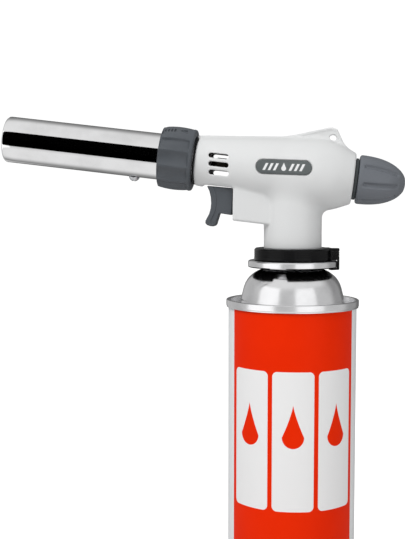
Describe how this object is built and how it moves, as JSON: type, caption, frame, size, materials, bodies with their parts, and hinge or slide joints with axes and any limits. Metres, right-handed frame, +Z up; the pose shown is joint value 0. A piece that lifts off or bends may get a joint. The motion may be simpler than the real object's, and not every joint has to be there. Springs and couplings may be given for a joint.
{
  "type": "butane torch",
  "caption": "Pistol-shaped butane torch with a trigger igniter and a flow knob, locked on an upright gas cartridge.",
  "frame": {"origin": "the middle of the footprint of the whole torch, on the surface that the cartridge stands on", "axes": "+Z up along the cartridge; +X from the flame end towards the flow knob; +Y to the torch's far side"},
  "size_m": [0.2074, 0.068, 0.2583],
  "materials": {
    "tinplate": "bright tinplate, lightly brushed",
    "lacquered_tinplate": "glossy red lacquer with white strips",
    "white_plastic": "satin moulded ABS",
    "grey_plastic": "satin moulded nylon",
    "slate_plastic": "satin moulded nylon, darker than the knob",
    "dark_plastic": "satin moulded plastic",
    "black_plastic": "smooth moulded nylon",
    "chrome": "polished plating",
    "steel": "plain zinc-plated steel",
    "brass": "turned",
    "zinc_casting": "as cast",
    "rubber": "matt",
    "ceramic": "glazed",
    "red_cable": "silicone insulation"
  },
  "bodies": {
    "cartridge": {"can_body": "lacquered_tinplate", "can_base": "tinplate", "can_dome": "tinplate", "can_valve_cup": "tinplate", "can_flange": "tinplate", "can_valve_housing": "white_plastic", "can_valve_gasket": "rubber", "can_valve_spring": "steel", "gas_pickup_tube": "white_plastic"},
    "cartridge_stem": {"can_valve_stem": "white_plastic"},
    "torch_head": {"left_shell": "white_plastic", "right_shell": "white_plastic", "body_screw_1": "steel", "body_screw_2": "steel", "body_screw_3": "steel", "body_screw_4": "steel", "badge": "dark_plastic", "bayonet_collar": "black_plastic", "collar_screw_1": "steel", "collar_screw_2": "steel", "collar_screw_3": "steel", "inlet_nipple": "brass", "inlet_seal": "rubber", "valve_body": "zinc_casting", "trigger_spring": "steel", "ignition_unit": "black_plastic", "ignition_lead": "red_cable", "gland_nut": "brass", "stem_seal": "rubber", "gas_pipe": "brass", "gas_jet": "brass", "mixing_tube": "steel", "tube_mount": "steel", "burner_tube": "chrome", "tube_screw": "steel", "flame_holder": "brass", "electrode_insulator": "ceramic", "electrode": "steel", "ring_washer": "black_plastic"},
    "air_ring": {"air_ring": "slate_plastic"},
    "trigger": {"trigger": "slate_plastic", "ignition_plunger": "white_plastic"},
    "knob": {"knob": "grey_plastic", "knob_neck": "dark_plastic"},
    "valve_needle": {"valve_needle": "brass"}
  },
  "joints": [
    {"name": "bayonet_turn", "type": "hinge", "parent": "cartridge", "child": "torch_head", "pos_m": [0.0472, 0, 0.187], "axis": [0, 0, 1], "range_deg": [0, 45]},
    {"name": "knob_turn", "type": "hinge", "parent": "torch_head", "child": "knob", "pos_m": [0.0472, 0, 0.229], "axis": [0.9932, 0, -0.1167], "range_deg": [0, 300]},
    {"name": "needle_lift", "type": "slide", "parent": "knob", "child": "valve_needle", "axis": [0.9932, 0, -0.1167], "range_m": [0, 0.0007]},
    {"name": "trigger_pull", "type": "slide", "parent": "torch_head", "child": "trigger", "axis": [0.9932, 0, -0.1167], "range_m": [0, 0.0055], "stiffness_N_per_m": 900, "springref_m": -0.004, "deforming": ["trigger_spring"]},
    {"name": "air_ring_turn", "type": "hinge", "parent": "torch_head", "child": "air_ring", "pos_m": [0.0472, 0, 0.229], "axis": [0.9932, 0, -0.1167], "range_deg": [0, 45]},
    {"name": "stem_press", "type": "slide", "parent": "cartridge", "child": "cartridge_stem", "axis": [0, 0, 1], "range_m": [-0.001, 0], "stiffness_N_per_m": 3000, "springref_m": 0.001, "deforming": ["can_valve_spring"]}
  ],
  "couplings": [
    {"joint": "needle_lift", "follows": "knob_turn", "m_per_rad": 0.00013102}
  ]
}
